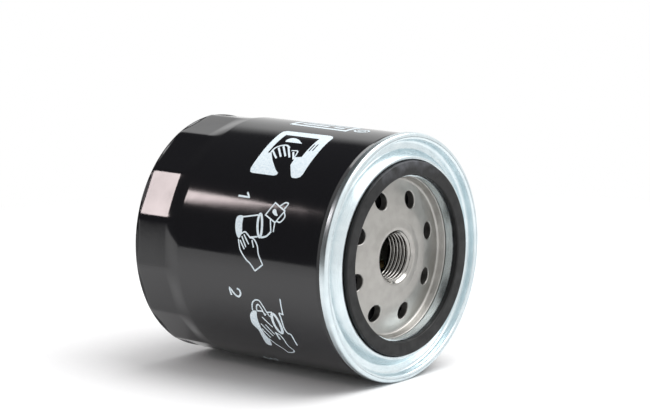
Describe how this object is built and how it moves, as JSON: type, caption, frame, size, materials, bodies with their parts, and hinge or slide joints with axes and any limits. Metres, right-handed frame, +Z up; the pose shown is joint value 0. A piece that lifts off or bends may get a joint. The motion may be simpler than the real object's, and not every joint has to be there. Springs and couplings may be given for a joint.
{
  "type": "spin-on oil filter",
  "caption": "Spin-on oil filter: black wrench-flat can, rolled seam, rubber gasket and threaded base plate with inlet holes, with a pleated element and valves inside.",
  "frame": {"origin": "centre of the threaded hole's mouth on the base plate's outer face", "axes": "+X along the filter's axis out of its open end, +Z up with the filter lying on its side"},
  "size_m": [0.0958, 0.093, 0.093],
  "materials": {
    "can_enamel": "gloss black baked enamel",
    "zinc_lid": "bright zinc-plated pressed steel",
    "seam_compound": "cured sealing compound",
    "base_plate_steel": "satin pressed steel",
    "gasket_rubber": "moulded nitrile rubber, slightly chalky",
    "valve_rubber": "moulded nitrile rubber",
    "tinned_steel": "tinned sheet steel",
    "plastisol": "cured plastisol adhesive",
    "filter_paper": "resin-treated filter paper",
    "spring_steel": "oiled spring steel"
  },
  "bodies": {
    "filter_body": {"can": "can_enamel", "seaming_lid": "zinc_lid", "seam_compound": "seam_compound", "base_plate": "base_plate_steel", "sealing_gasket": "gasket_rubber", "lower_end_cap": "tinned_steel", "upper_end_cap": "tinned_steel", "lower_bond": "plastisol", "upper_bond": "plastisol", "centre_tube": "tinned_steel", "pleated_media": "filter_paper", "media_seam_clip": "tinned_steel", "bypass_cage": "tinned_steel", "bypass_spring": "spring_steel", "hold_down_spring": "spring_steel"},
    "bypass_poppet": {"bypass_valve_disc": "tinned_steel", "bypass_guide_pin": "spring_steel", "bypass_seal": "valve_rubber"},
    "anti_drain_flap": {"anti_drain_valve": "valve_rubber"}
  },
  "joints": [
    {"name": "bypass_lift", "type": "slide", "parent": "filter_body", "child": "bypass_poppet", "axis": [1, 0, 0], "range_m": [0, 0.0035], "stiffness_N_per_m": 3000, "springref_m": -0.008, "deforming": ["bypass_spring"]},
    {"name": "anti_drain_lift", "type": "slide", "parent": "filter_body", "child": "anti_drain_flap", "axis": [-1, 0, 0], "range_m": [0, 0.0012], "stiffness_N_per_m": 400, "springref_m": -0.001, "deforming": ["anti_drain_valve"]}
  ]
}
